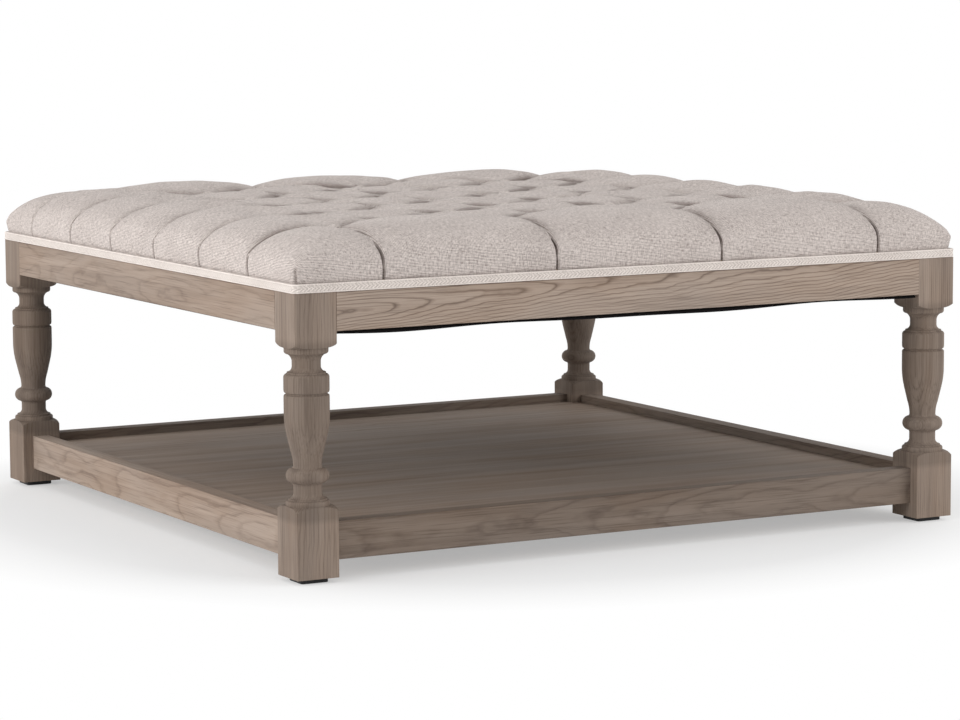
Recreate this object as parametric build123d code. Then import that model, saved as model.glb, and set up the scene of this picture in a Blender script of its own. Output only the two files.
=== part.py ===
from build123d import *
import os
from math import cos, radians, sin, sqrt

# Square ottoman coffee table: an oak frame on four turned legs, a tray shelf low down and a diamond tufted top.
# Millimetres. +X is right, +Y is back, +Z is up. The origin is on the floor, under the middle of the table.

# Frame
table_width = 1000.0
table_depth = 1000.0
frame_height = 365.0
leg_stock = 58.0
edge_ease = 1.2
overrun = 20.0

# Seat rails, flush with the outside of the legs
seat_rail_height = 49.0
seat_rail_thickness = 25.0
seat_tenon_length = 28.0
leg_block_drop = 13.5

# Shelf rails, set back from the outside of the legs
shelf_rail_bottom = 26.0
shelf_rail_height = 49.0
shelf_rail_thickness = 25.0
shelf_rail_setback = 16.0
lower_block_above_rail = 14.5

# Tenons
tenon_thickness = 9.0
tenon_shoulder = 7.0
tenon_clearance = 0.15
tenon_end_gap = 1.0
tenon_wall = 3.0

# Turned part of the leg: radii as shares of half the leg stock, heights as shares of the turned length.
# Each row is the end of a line, or the middle and the end of an arc.
turning_shares = [
    ("arc", 1.255, 0.0230, 0.965, 0.0350),
    ("line", 0.965, 0.0500),
    ("arc", 0.940, 0.0610, 0.869, 0.0657),
    ("line", 0.845, 0.0657),
    ("line", 0.845, 0.0751),
    ("arc", 0.686, 0.0864, 0.617, 0.1080),
    ("line", 0.617, 0.1550),
    ("line", 0.655, 0.1657),
    ("arc", 0.948, 0.2113, 0.655, 0.2568),
    ("line", 0.617, 0.2680),
    ("line", 0.617, 0.2780),
    ("arc", 0.648, 0.3180, 0.721, 0.3554),
    ("line", 0.883, 0.4484),
    ("arc", 0.968, 0.5141, 0.994, 0.5822),
    ("line", 0.994, 0.6784),
    ("line", 0.979, 0.6859),
    ("line", 0.905, 0.6925),
    ("line", 0.905, 0.6981),
    ("line", 0.976, 0.7038),
    ("line", 0.994, 0.7160),
    ("line", 0.994, 0.7887),
    ("arc", 0.965, 0.8033, 0.883, 0.8113),
    ("line", 0.848, 0.8113),
    ("line", 0.848, 0.8211),
    ("arc", 0.697, 0.8315, 0.628, 0.8521),
    ("line", 0.628, 0.8873),
    ("arc", 0.700, 0.9131, 0.855, 0.9300),
    ("line", 0.883, 0.9300),
    ("arc", 0.945, 0.9366, 0.965, 0.9474),
    ("line", 0.965, 0.9670),
    ("arc", 1.255, 0.9785, 1.450, 1.0000),
]
block_corner_share = 1.45

# Glides
glide_height = 6.5
glide_inset = 10.0
glide_corner = 4.0
glide_ease = 1.0
glide_screw_recess = 2.0

# Shelf
shelf_lip = 12.0
shelf_thickness = 12.0
shelf_gap = 0.5
cleat_size = 18.0
cleat_screws_each = 4
shelf_screws_each = 3

# Seat board and what carries it
board_thickness = 12.0
board_inset = 4.0
board_corner = 6.0
board_screw_tip_gap = 2.0
cross_rail_width = 22.0
cross_rail_height = 32.0
cross_rail_housing = 8.0
cross_rail_screws = 3
corner_block_height = 34.0
corner_block_reach = 100.0
corner_block_leg_gap = 1.0
corner_screw_grip = 24.0
corner_screw_share = 0.6

# Screws
screw_diameter = 4.0
screw_head_diameter = 8.0
screw_head_height = 2.4
screw_clearance = 0.1
screw_point = 4.0
board_screw_length = 28.0
corner_screw_length = 40.0
cleat_screw_length = 32.0
shelf_screw_length = 25.0
glide_screw_length = 20.0

# Tufting: rows of tufts from front to back, with the odd rows between the tufts of the even ones.
# The pattern is set by hand and lies a little behind the middle of the table.
tuft_margin = 125.0
tuft_offset = 16.0
tufts_wide = 4
tufts_deep = 6
cross_rail_share = 0.75

# Cushion crown: each side is a quarter of an ellipse, from the shoulder up to the top
cushion_rise = 81.0
pleat_depth = 6.0
tuft_depth = 13.0
shoulder_above_gimp = 17.0
cover_skirt_inset = 1.0
puff_bulge = 0.5
pleat_inset = 3.0
puff_run = 97.0
pleat_run = 92.0
crown_steps = 7
corner_radius = 12.0
corner_swell = 36.0
pleat_rise = 1.5
pleat_half_width_low = 15.0
pleat_half_width_top = 38.0
pleat_reach = 12.0
tuft_half_width = 32.0

# Soft layers inside
soft_gap = 0.3
foam_inset = 22.0
foam_edge = 32.0
foam_corner = 40.0
wadding_thickness = 5.0
cover_under_button = 3.4

# Buttons, twines and washers
button_diameter = 18.0
button_rise = 4.5
button_seat_margin = 0.5
twine_diameter = 1.8
twine_clearance = 0.1
board_hole_diameter = 5.0
washer_diameter = 16.0
washer_thickness = 1.5
knot_diameter = 4.5
knot_height = 2.5

# Gimp braid round the lower edge of the cover
gimp_height = 12.0
gimp_thickness = 4.0
gimp_corner = 9.0
gimp_ease = 1.4

# Dust cover and staples
dust_cover_thickness = 1.2
dust_cover_inset = 6.0
dust_cover_leg_gap = 1.0
staple_crown = 10.0
staple_wire = 1.0
staple_leg = 8.0
staple_spacing = 95.0
staple_end = 75.0
staple_clearance = 0.05

# Worked out from the values above
half_width = table_width / 2
half_depth = table_depth / 2
half_stock = leg_stock / 2
leg_x = half_width - half_stock
leg_y = half_depth - half_stock
seat_rail_bottom = frame_height - seat_rail_height
shelf_rail_top = shelf_rail_bottom + shelf_rail_height
turned_bottom = shelf_rail_top + lower_block_above_rail
turned_top = seat_rail_bottom - leg_block_drop
shelf_top = shelf_rail_top - shelf_lip
shelf_bottom = shelf_top - shelf_thickness
shelf_tenon_length = leg_stock - shelf_rail_setback - (shelf_rail_thickness + tenon_thickness) / 2 - tenon_wall
board_top = frame_height + board_thickness
board_screw_level = board_top - board_screw_tip_gap - board_screw_length
gimp_top = frame_height + gimp_height
shoulder_height = gimp_top + shoulder_above_gimp
cushion_top = frame_height + cushion_rise
pleat_top = cushion_top - pleat_depth
tuft_seat = cushion_top - tuft_depth
wadding_top = tuft_seat - cover_under_button - soft_gap
foam_top = wadding_top - wadding_thickness - soft_gap
tuft_edge_x = half_width - tuft_margin
tuft_edge_y = half_depth - tuft_margin
tuft_spacing_x = 2 * tuft_edge_x / (tufts_wide - 1)
tuft_spacing_y = 2 * tuft_edge_y / (tufts_deep - 1)

corners = {
    "front_left": (-1, -1),
    "front_right": (1, -1),
    "back_left": (-1, 1),
    "back_right": (1, 1),
}
side_turns = {"front": 0, "right": 90, "back": 180, "left": 270}


def half_run(side):
    """Half the table's size along a side."""
    return half_width if side in ("front", "back") else half_depth


def half_reach(side):
    """Distance from the middle of the table out to a side."""
    return half_depth if side in ("front", "back") else half_width


def turned(side, shape):
    """A shape made for the front side, turned round to another side."""
    return Rot(0, 0, side_turns[side]) * shape


def block(x, y, z):
    """A box from its lowest to its highest X, Y and Z."""
    size = [high - low for low, high in (x, y, z)]
    middle = [(low + high) / 2 for low, high in (x, y, z)]
    return Pos(*middle) * Box(*size)


def eased_bar(x, y, z, ease):
    """A box whose four long edges, along X, are rounded."""
    bar = block(x, y, z)
    return fillet(bar.edges().filter_by(Axis.X), ease)


def aimed(shape, point, direction):
    """A shape made along +Z from the origin, moved to a point and aimed along a direction."""
    return Plane(origin=point, z_dir=direction).location * shape


def spread(count, first, last):
    """Evenly spaced places from first to last."""
    return [first + (last - first) * i / (count - 1) for i in range(count)]


def screw(length):
    """A countersunk screw with its flat head at the origin, driven along +Z."""
    r = screw_diameter / 2
    outline = [
        (0, 0),
        (screw_head_diameter / 2, 0),
        (r, screw_head_height),
        (r, length - screw_point),
        (0, length),
    ]
    return revolve(Plane.XZ * make_face(Polyline(*outline, close=True)), Axis.Z)


def screw_hole(length, counterbore=0.0):
    """The hole for a screw, with a counterbore of the given depth behind its head."""
    head = screw_head_diameter / 2 + screw_clearance
    r = screw_diameter / 2 + screw_clearance
    behind = [(0, -counterbore), (head, -counterbore)] if counterbore else [(0, 0)]
    outline = behind + [
        (head, 0),
        (r, screw_head_height),
        (r, length - screw_point),
        (0, length),
    ]
    return revolve(Plane.XZ * make_face(Polyline(*outline, close=True)), Axis.Z)


def staple(clearance=0.0):
    """A staple whose crown lies along X on the plane z = 0, with its legs driven along +Z."""
    wide = staple_crown / 2 + clearance
    wire = staple_wire / 2 + clearance
    inner = staple_crown / 2 - staple_wire - clearance
    crown = block((-wide, wide), (-wire, wire), (0, staple_wire + clearance))
    legs = [block(x, (-wire, wire), (0, staple_leg + clearance)) for x in ((-wide, -inner), (inner, wide))]
    return crown + legs


def staple_places(side):
    """Places of the staples along one side."""
    end = half_run(side) - staple_end
    count = round(2 * end / staple_spacing) + 1
    return spread(count, -end, end)


def tenons(side, reach, z_low, z_high, length, clearance=0.0):
    """The two tenons of a rail on one side. Reach is from the middle of the table to the middle of the rail."""
    thick = tenon_thickness / 2 + clearance
    near = half_run(side) - leg_stock
    y = (-reach - thick, -reach + thick)
    z = (z_low + tenon_shoulder - clearance, z_high - tenon_shoulder + clearance)
    far = near + length + (tenon_end_gap if clearance else 0)
    pair = [block((near, far), y, z), block((-far, -near), y, z)]
    return [turned(side, tenon) for tenon in pair]


def seat_tenons(side, clearance=0.0):
    """Tenons of a seat rail, or with a clearance the mortises for them."""
    reach = half_reach(side) - seat_rail_thickness / 2
    return tenons(side, reach, seat_rail_bottom, frame_height, seat_tenon_length, clearance)


def shelf_tenons(side, clearance=0.0):
    """Tenons of a shelf rail, or with a clearance the mortises for them."""
    reach = half_reach(side) - shelf_rail_setback - shelf_rail_thickness / 2
    return tenons(side, reach, shelf_rail_bottom, shelf_rail_top, shelf_tenon_length, clearance)


def leg_outline():
    """Half of the leg's turned outline, closed on its axis, with the square blocks left over size."""
    length = turned_top - turned_bottom

    def place(radius_share, height_share):
        return (radius_share * half_stock, turned_bottom + height_share * length)

    start = (block_corner_share * half_stock, glide_height)
    here = place(block_corner_share, 0)
    edges = [Line((0, glide_height), start), Line(start, here)]
    for kind, *shares in turning_shares:
        end = place(*shares[-2:])
        edge = Line(here, end) if kind == "line" else ThreePointArc(here, place(*shares[:2]), end)
        edges.append(edge)
        here = end
    top = (here[0], frame_height)
    edges += [Line(here, top), Line(top, (0, frame_height)), Line((0, frame_height), (0, glide_height))]
    return make_face(edges)


def leg(sx, sy):
    """A turned leg: a square bar cut down to the turned outline, with a mortise for each rail."""
    turning = revolve(Plane.XZ * leg_outline(), Axis.Z)
    bar = block((-half_stock, half_stock), (-half_stock, half_stock), (glide_height, frame_height))
    bar = fillet(bar.edges().filter_by(Axis.Z), edge_ease)
    made = Pos(sx * leg_x, sy * leg_y) * (bar & turning)
    for side in ("front" if sy < 0 else "back", "left" if sx < 0 else "right"):
        made -= seat_tenons(side, tenon_clearance) + shelf_tenons(side, tenon_clearance)
    return made - glide_screw_hole(sx, sy)


def seat_rail(side):
    """A seat rail with its tenons, the housings for the cross rails and the holes of its fasteners."""
    x = half_run(side) - leg_stock
    y = half_reach(side)
    bar = eased_bar((-x, x), (-y, -y + seat_rail_thickness), (seat_rail_bottom, frame_height), edge_ease)
    made = turned(side, bar) + seat_tenons(side)
    if side in ("left", "right"):
        made -= [cross_rail_blank(sign, tenon_clearance) for sign in (-1, 1)]
    made -= dust_staples(side, staple_clearance)
    return made - [hole for name in corners for hole in corner_screws(name, screw_hole)]


def shelf_rail(side):
    """A shelf rail with its tenons and the screw holes of its cleat."""
    x = half_run(side) - leg_stock
    y = half_reach(side) - shelf_rail_setback
    bar = eased_bar((-x, x), (-y, -y + shelf_rail_thickness), (shelf_rail_bottom, shelf_rail_top), edge_ease)
    return turned(side, bar) + shelf_tenons(side) - cleat_screw_set(side, screw_hole)


def cleat_line(side):
    """Distances from the middle of the table to the inside and the outside of a cleat."""
    outside = half_reach(side) - shelf_rail_setback - shelf_rail_thickness
    return outside - cleat_size, outside


def shelf_cleat(side):
    """A square batten screwed inside a shelf rail, under the shelf."""
    inside, outside = cleat_line(side)
    x = half_run(side) - leg_stock - shelf_gap
    if side in ("left", "right"):
        x = min(x, cleat_line("front")[0] - shelf_gap)
    bar = block((-x, x), (-outside, -inside), (shelf_bottom - cleat_size, shelf_bottom))
    made = turned(side, bar) - cleat_screw_set(side, screw_hole)
    return made - shelf_screw_set(side, screw_hole)


def cleat_screw_set(side, make):
    """The level screws, or their holes, that hold a cleat to its rail."""
    inside, outside = cleat_line(side)
    end = half_run(side) - leg_stock - 2 * cleat_size
    z = shelf_bottom - cleat_size / 2
    places = spread(cleat_screws_each, -end, end)
    return [turned(side, aimed(make(cleat_screw_length), (x, -inside, z), (0, -1, 0))) for x in places]


def shelf_screw_set(side, make):
    """The upright screws, or their holes, that hold the shelf to a cleat."""
    inside, outside = cleat_line(side)
    end = half_run(side) - leg_stock - 4 * cleat_size
    y = -(inside + outside) / 2
    z = shelf_bottom - cleat_size
    places = spread(shelf_screws_each, -end, end)
    return [turned(side, aimed(make(shelf_screw_length), (x, y, z), (0, 0, 1))) for x in places]


def shelf_panel():
    """The shelf, notched round the four legs."""
    x = half_width - shelf_rail_setback - shelf_rail_thickness - shelf_gap
    y = half_depth - shelf_rail_setback - shelf_rail_thickness - shelf_gap
    z = (shelf_bottom, shelf_top)
    panel = block((-x, x), (-y, y), z)
    notch_x = half_width - leg_stock - shelf_gap
    notch_y = half_depth - leg_stock - shelf_gap
    for sx, sy in corners.values():
        notch = block((notch_x, half_width), (notch_y, half_depth), (z[0] - overrun, z[1] + overrun))
        panel -= mirrored_to(sx, sy, notch)
    return panel - [hole for side in side_turns for hole in shelf_screw_set(side, screw_hole)]


def mirrored_to(sx, sy, shape):
    """A shape made in the back right corner, mirrored into another corner."""
    if sx < 0:
        shape = mirror(shape, Plane.YZ)
    if sy < 0:
        shape = mirror(shape, Plane.XZ)
    return shape


def glide(sx, sy):
    """A square glide under a leg, with a recess for its screw."""
    half = half_stock - glide_inset
    pad = block((-half, half), (-half, half), (0, glide_height))
    pad = fillet(pad.edges().filter_by(Axis.Z), glide_corner)
    pad = fillet(pad.faces().sort_by(Axis.Z)[0].edges(), glide_ease)
    return Pos(sx * leg_x, sy * leg_y) * pad - glide_screw_hole(sx, sy)


def glide_screw(sx, sy):
    """The screw that holds a glide."""
    return Pos(sx * leg_x, sy * leg_y, glide_screw_recess) * screw(glide_screw_length)


def glide_screw_hole(sx, sy):
    """The hole for that screw, open below."""
    hole = screw_hole(glide_screw_length, glide_screw_recess + overrun)
    return Pos(sx * leg_x, sy * leg_y, glide_screw_recess) * hole


def cross_rail_place(sign):
    """Where a cross rail lies from front to back, midway between two rows of tufts."""
    return tuft_offset + sign * tuft_spacing_y * cross_rail_share


def cross_rail_blank(sign, clearance=0.0):
    """A cross rail before drilling, or with a clearance the housings for it."""
    x = half_width - seat_rail_thickness + cross_rail_housing + clearance
    wide = cross_rail_width / 2 + clearance
    y = cross_rail_place(sign)
    top = frame_height + (overrun if clearance else 0)
    return block((-x, x), (y - wide, y + wide), (frame_height - cross_rail_height - clearance, top))


def cross_rail_screw_set(sign, make, bottom):
    """Screws, or their holes, through a cross rail into the seat board."""
    end = half_width - corner_block_reach - seat_rail_thickness
    depth = board_screw_level - bottom
    extra = () if make is screw else (depth,)
    places = spread(cross_rail_screws, -end, end)
    y = cross_rail_place(sign)
    return [Pos(x, y, board_screw_level) * make(board_screw_length, *extra) for x in places]


def cross_rail(sign):
    """A cross rail that carries the middle of the board."""
    bottom = frame_height - cross_rail_height
    return cross_rail_blank(sign) - cross_rail_screw_set(sign, screw_hole, bottom)


def corner_place(sx, sy, u, v):
    """A point in plan, u and v in from the inner faces of the seat rails at a corner."""
    x = half_width - seat_rail_thickness - u
    y = half_depth - seat_rail_thickness - v
    return (sx * x, sy * y)


def corner_block(name):
    """A block across a corner of the frame, clear of the leg and screwed to both seat rails."""
    sx, sy = corners[name]
    near = leg_stock - seat_rail_thickness + corner_block_leg_gap
    far = corner_block_reach
    plan = [(near, 0), (far, 0), (0, far), (0, near), (near, near)]
    points = [corner_place(sx, sy, u, v) for u, v in plan]
    bottom = frame_height - corner_block_height
    face = Pos(0, 0, bottom) * make_face(Polyline(*points, close=True))
    made = extrude(face, amount=corner_block_height, dir=(0, 0, 1))
    made -= corner_screws(name, screw_hole)
    return made - corner_board_screw(name, screw_hole)


def corner_screws(name, make):
    """The two level screws, or their holes, from a corner block into the seat rails."""
    sx, sy = corners[name]
    along = corner_block_reach * corner_screw_share
    z = frame_height - corner_block_height / 2
    extra = () if make is screw else (overrun,)
    shape = make(corner_screw_length, *extra)
    to_front = (*corner_place(sx, sy, along, corner_screw_grip), z)
    to_side = (*corner_place(sx, sy, corner_screw_grip, along), z)
    return [aimed(shape, to_front, (0, sy, 0)), aimed(shape, to_side, (sx, 0, 0))]


def corner_board_screw(name, make):
    """The upright screw, or its hole, from a corner block into the seat board."""
    sx, sy = corners[name]
    near = leg_stock - seat_rail_thickness + corner_block_leg_gap
    middle = (near + corner_block_reach / 2) / 2
    depth = board_screw_level - frame_height + corner_block_height
    extra = () if make is screw else (depth,)
    return Pos(*corner_place(sx, sy, middle, middle), board_screw_level) * make(board_screw_length, *extra)


def tuft_places():
    """Every tuft in plan: full rows, and rows one shorter that sit between them."""
    places = []
    for row in range(2 * tufts_deep - 1):
        short = row % 2
        y = tuft_offset - tuft_edge_y + row * tuft_spacing_y / 2
        for column in range(tufts_wide - short):
            places.append((-tuft_edge_x + (column + short / 2) * tuft_spacing_x, y))
    return places


def tuft_rods(radius, low, high):
    """An upright rod at each tuft."""
    rod = Pos(0, 0, (low + high) / 2) * Cylinder(radius, high - low)
    return [Pos(x, y) * rod for x, y in tuft_places()]


def seat_board():
    """The plywood board, with a hole for each twine and the holes of its fasteners."""
    x = half_width - board_inset
    y = half_depth - board_inset
    board = block((-x, x), (-y, y), (frame_height, board_top))
    board = fillet(board.edges().filter_by(Axis.Z), board_corner)
    board -= tuft_rods(board_hole_diameter / 2, frame_height - overrun, board_top + overrun)
    board -= [corner_board_screw(name, screw_hole) for name in corners]
    for sign in (-1, 1):
        board -= cross_rail_screw_set(sign, screw_hole, frame_height - cross_rail_height)
    for side in side_turns:
        board -= cover_staples(side, staple_clearance)
    return board


def soft_block(inset, top, edge, corner):
    """A block on the board with rounded upright corners and a rounded top edge."""
    x = half_width - inset
    y = half_depth - inset
    made = block((-x, x), (-y, y), (board_top, top))
    made = fillet(made.edges().filter_by(Axis.Z), corner)
    return fillet(made.faces().sort_by(Axis.Z)[-1].edges(), edge)


def foam_block():
    """The foam, with a hole for each twine."""
    made = soft_block(foam_inset, foam_top, foam_edge, foam_corner)
    return made - tuft_rods(twine_diameter / 2 + twine_clearance, board_top - overrun, foam_top + overrun)


def wadding_form(gap):
    """Outside of the wadding, or with a gap the pocket for it inside the cover."""
    grow = soft_gap + wadding_thickness + gap
    return soft_block(foam_inset - grow, foam_top + grow, foam_edge + grow, foam_corner + grow)


def wadding_layer():
    """Wadding laid over the foam and down its sides."""
    made = wadding_form(0.0)
    made -= soft_block(foam_inset - soft_gap, foam_top + soft_gap, foam_edge + soft_gap, foam_corner + soft_gap)
    return made - tuft_rods(twine_diameter / 2 + twine_clearance, board_top - overrun, wadding_top + overrun)


def crown_section(inset, height, radius):
    """A level rounded rectangle, set in from the sides of the frame."""
    plan = RectangleRounded(table_width - 2 * inset, table_depth - 2 * inset, radius)
    return (Pos(0, 0, height) * plan).wire()


def crown_form():
    """The cushion before tufting: level sections that draw in along a quarter of an ellipse."""
    low = crown_section(cover_skirt_inset, gimp_top, corner_radius)
    sections = [low]
    for step in range(crown_steps):
        angle = radians(90 * step / (crown_steps - 1))
        inset = cover_skirt_inset - puff_bulge + puff_run * (1 - cos(angle))
        height = shoulder_height + (cushion_top - shoulder_height) * sin(angle)
        radius = corner_radius + corner_swell * sin(2 * angle)
        sections.append(crown_section(inset, height, radius))
    return Solid.make_loft(sections)


def pleat_wire(valley, across, out, depth, half_width_here):
    """A pleat in section: two rounded shoulders that meet in a fold at the valley, closed well outside."""
    high = depth + pleat_rise
    radius = (half_width_here**2 + high**2) / (2 * high)
    middle_s = half_width_here / 2
    middle_n = high - radius + sqrt(radius**2 - middle_s**2)

    def place(s, n):
        return valley + across * s + out * n

    left, right = place(-half_width_here, high), place(half_width_here, high)
    top = high + pleat_reach
    far_right, far_left = place(half_width_here, top), place(-half_width_here, top)
    return Wire([
        Edge.make_three_point_arc(left, place(-middle_s, middle_n), valley),
        Edge.make_three_point_arc(valley, place(middle_s, middle_n), right),
        Edge.make_line(right, far_right),
        Edge.make_line(far_right, far_left),
        Edge.make_line(far_left, left),
    ])


def field_pleats():
    """Straight pleats on the top, along both diagonals of the tuft pattern, from edge tuft to edge tuft."""
    starts = [(-tuft_edge_x, -tuft_edge_y + i * tuft_spacing_y) for i in range(tufts_deep - 1)]
    starts += [(-tuft_edge_x + i * tuft_spacing_x, -tuft_edge_y) for i in range(1, tufts_wide - 1)]
    slope = tuft_spacing_y / tuft_spacing_x
    cuts = []
    for sign in (1, -1):
        for x, y in starts:
            length_x = min(tuft_edge_x - x, (tuft_edge_y - y) / slope)
            start = Vector(x, tuft_offset + sign * y, pleat_top)
            run = Vector(length_x, sign * length_x * slope, 0)
            across = Vector(0, 0, 1).cross(run).normalized()
            wire = pleat_wire(start, across, Vector(0, 0, 1), cushion_top - pleat_top, pleat_half_width_top)
            cuts.append(Solid.extrude(Face(wire), run))
    return cuts


def side_pleat(side, along, tuft_line):
    """A pleat from an edge tuft straight out over the shoulder and down to the gimp."""
    rise = pleat_top - shoulder_height
    puff_rise = cushion_top - shoulder_height
    across = Vector(1, 0, 0)
    edge = half_reach(side) - pleat_inset
    side_depth = pleat_inset - cover_skirt_inset + puff_bulge
    wires = [pleat_wire(Vector(along, -edge, gimp_top), across, Vector(0, -1, 0), side_depth, pleat_half_width_low)]
    for step in range(crown_steps):
        angle = radians(90 * step / (crown_steps - 1))
        valley = Vector(along, -edge + pleat_run * (1 - cos(angle)), shoulder_height + rise * sin(angle))
        out = Vector(0, -rise * cos(angle), pleat_run * sin(angle)).normalized()
        share = sin(angle)
        depth = side_depth + (puff_rise - rise - side_depth) * share
        width = pleat_half_width_low + (pleat_half_width_top - pleat_half_width_low) * share
        wires.append(pleat_wire(valley, across, out, depth, width))
    end = Vector(along, -tuft_line, pleat_top)
    wires.append(pleat_wire(end, across, Vector(0, 0, 1), puff_rise - rise, pleat_half_width_top))
    return turned(side, Solid.make_loft(wires))


def side_pleats():
    """All the pleats of the four sides, in line with the tufts."""
    cuts = []
    for side in side_turns:
        count = tufts_wide if side in ("front", "back") else tufts_deep
        end = half_run(side) - tuft_margin
        offset = {"right": tuft_offset, "left": -tuft_offset}.get(side, 0)
        outward = {"back": tuft_offset, "front": -tuft_offset}.get(side, 0)
        tuft_line = half_reach(side) - tuft_margin + outward
        cuts += [side_pleat(side, offset + x, tuft_line) for x in spread(count, -end, end)]
    return cuts


def tuft_dimples():
    """The hollow round each button."""
    seat = button_diameter / 2 + button_seat_margin
    high = cushion_top + pleat_rise
    run = tuft_half_width - seat
    depth = high - tuft_seat
    radius = (run**2 + depth**2) / (2 * depth)
    middle_s = run / 2
    middle = (tuft_half_width - middle_s, high - radius + sqrt(radius**2 - middle_s**2))
    top = high + pleat_reach
    outline = [
        Line((0, tuft_seat), (seat, tuft_seat)),
        ThreePointArc((seat, tuft_seat), middle, (tuft_half_width, high)),
        Line((tuft_half_width, high), (tuft_half_width, top)),
        Line((tuft_half_width, top), (0, top)),
        Line((0, top), (0, tuft_seat)),
    ]
    dimple = revolve(Plane.XZ * make_face(outline), Axis.Z)
    return [Pos(x, y) * dimple for x, y in tuft_places()]


def tufted_cover():
    """The linen cover with its quilting: crowned and tufted outside, hollow for the wadding and the board."""
    skirt = extrude(
        Pos(0, 0, frame_height + soft_gap)
        * RectangleRounded(
            table_width - 2 * cover_skirt_inset, table_depth - 2 * cover_skirt_inset, board_corner
        ),
        amount=gimp_height - soft_gap,
    )
    made = crown_form()
    for cut in side_pleats():
        made -= cut
    made = made - field_pleats() - tuft_dimples() + skirt
    x = half_width - board_inset + soft_gap
    y = half_depth - board_inset + soft_gap
    pocket = block((-x, x), (-y, y), (frame_height - overrun, board_top))
    made -= fillet(pocket.edges().filter_by(Axis.Z), board_corner)
    made -= wadding_form(soft_gap)
    made -= tuft_rods(twine_diameter / 2 + twine_clearance, board_top, tuft_seat + overrun)
    for side in side_turns:
        made -= cover_staples(side, staple_clearance)
    return made


def cover_staples(side, clearance=0.0):
    """Staples through the skirt of the cover into the edge of the board, with their crowns flush."""
    y = -half_reach(side) + cover_skirt_inset
    z = frame_height + board_thickness / 2
    stitch = staple(clearance)
    places = [aimed_staple(stitch, (x, y, z), (0, 1, 0)) for x in staple_places(side)]
    return [turned(side, one) for one in places]


def dust_staples(side, clearance=0.0):
    """Staples through the dust cover into the underside of a seat rail."""
    y = -half_reach(side) + seat_rail_thickness / 2
    z = seat_rail_bottom - dust_cover_thickness - staple_wire
    stitch = staple(clearance)
    places = [aimed_staple(stitch, (x, y, z), (0, 0, 1)) for x in staple_places(side)]
    return [turned(side, one) for one in places]


def aimed_staple(stitch, point, direction):
    """A staple at a point with its crown along X."""
    return Plane(origin=point, x_dir=(1, 0, 0), z_dir=direction).location * stitch


def button():
    """A covered button: a low dome on a flat back."""
    r = button_diameter / 2
    rim = button_rise / 4
    rise = button_rise - rim
    dome = (r**2 + rise**2) / (2 * rise)
    middle = (r / 2, button_rise - dome + sqrt(dome**2 - r**2 / 4))
    outline = [
        Line((0, 0), (r, 0)),
        Line((r, 0), (r, rim)),
        ThreePointArc((r, rim), middle, (0, button_rise)),
        Line((0, button_rise), (0, 0)),
    ]
    return revolve(Plane.XZ * make_face(outline), Axis.Z)


def twine():
    """One tufting twine, from the button's back down to a knot under its washer."""
    bottom = frame_height - washer_thickness
    rod = Pos(0, 0, (bottom + tuft_seat) / 2) * Cylinder(twine_diameter / 2, tuft_seat - bottom)
    knot = Pos(0, 0, bottom - knot_height / 2) * Cylinder(knot_diameter / 2, knot_height)
    return rod + knot


def washer():
    """The washer under the board that a twine is tied against."""
    disc = Cylinder(washer_diameter / 2, washer_thickness)
    hole = Cylinder(twine_diameter / 2 + twine_clearance, washer_thickness + overrun)
    return Pos(0, 0, frame_height - washer_thickness / 2) * (disc - hole)


def gimp_braid():
    """The braid round the lower edge of the cover, with its two outer edges rounded."""
    reach = gimp_thickness - cover_skirt_inset
    outer = RectangleRounded(table_width + 2 * reach, table_depth + 2 * reach, gimp_corner)
    inner = RectangleRounded(
        table_width - 2 * cover_skirt_inset, table_depth - 2 * cover_skirt_inset, board_corner
    )
    ring = extrude(Pos(0, 0, frame_height) * outer, amount=gimp_height)
    top_and_bottom = ring.faces().filter_by(Axis.Z).edges()
    ring = fillet(top_and_bottom, gimp_ease)
    return ring - extrude(Pos(0, 0, frame_height) * inner, amount=gimp_height)


def dust_cover():
    """The black cloth under the seat rails, cut round the legs."""
    x = half_width - dust_cover_inset
    y = half_depth - dust_cover_inset
    z = (seat_rail_bottom - dust_cover_thickness, seat_rail_bottom)
    sheet = block((-x, x), (-y, y), z)
    notch_x = half_width - leg_stock - dust_cover_leg_gap
    notch_y = half_depth - leg_stock - dust_cover_leg_gap
    for sx, sy in corners.values():
        notch = block((notch_x, half_width), (notch_y, half_depth), (z[0] - overrun, z[1] + overrun))
        sheet -= mirrored_to(sx, sy, notch)
    for side in side_turns:
        sheet -= dust_staples(side, staple_clearance)
    return sheet


def save(name, *shapes):
    """Write one node: a single solid, or a group of separate ones."""
    shape = shapes[0] if len(shapes) == 1 else Compound(children=list(shapes))
    export_step(shape, f"parts/{name}.step")


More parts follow.
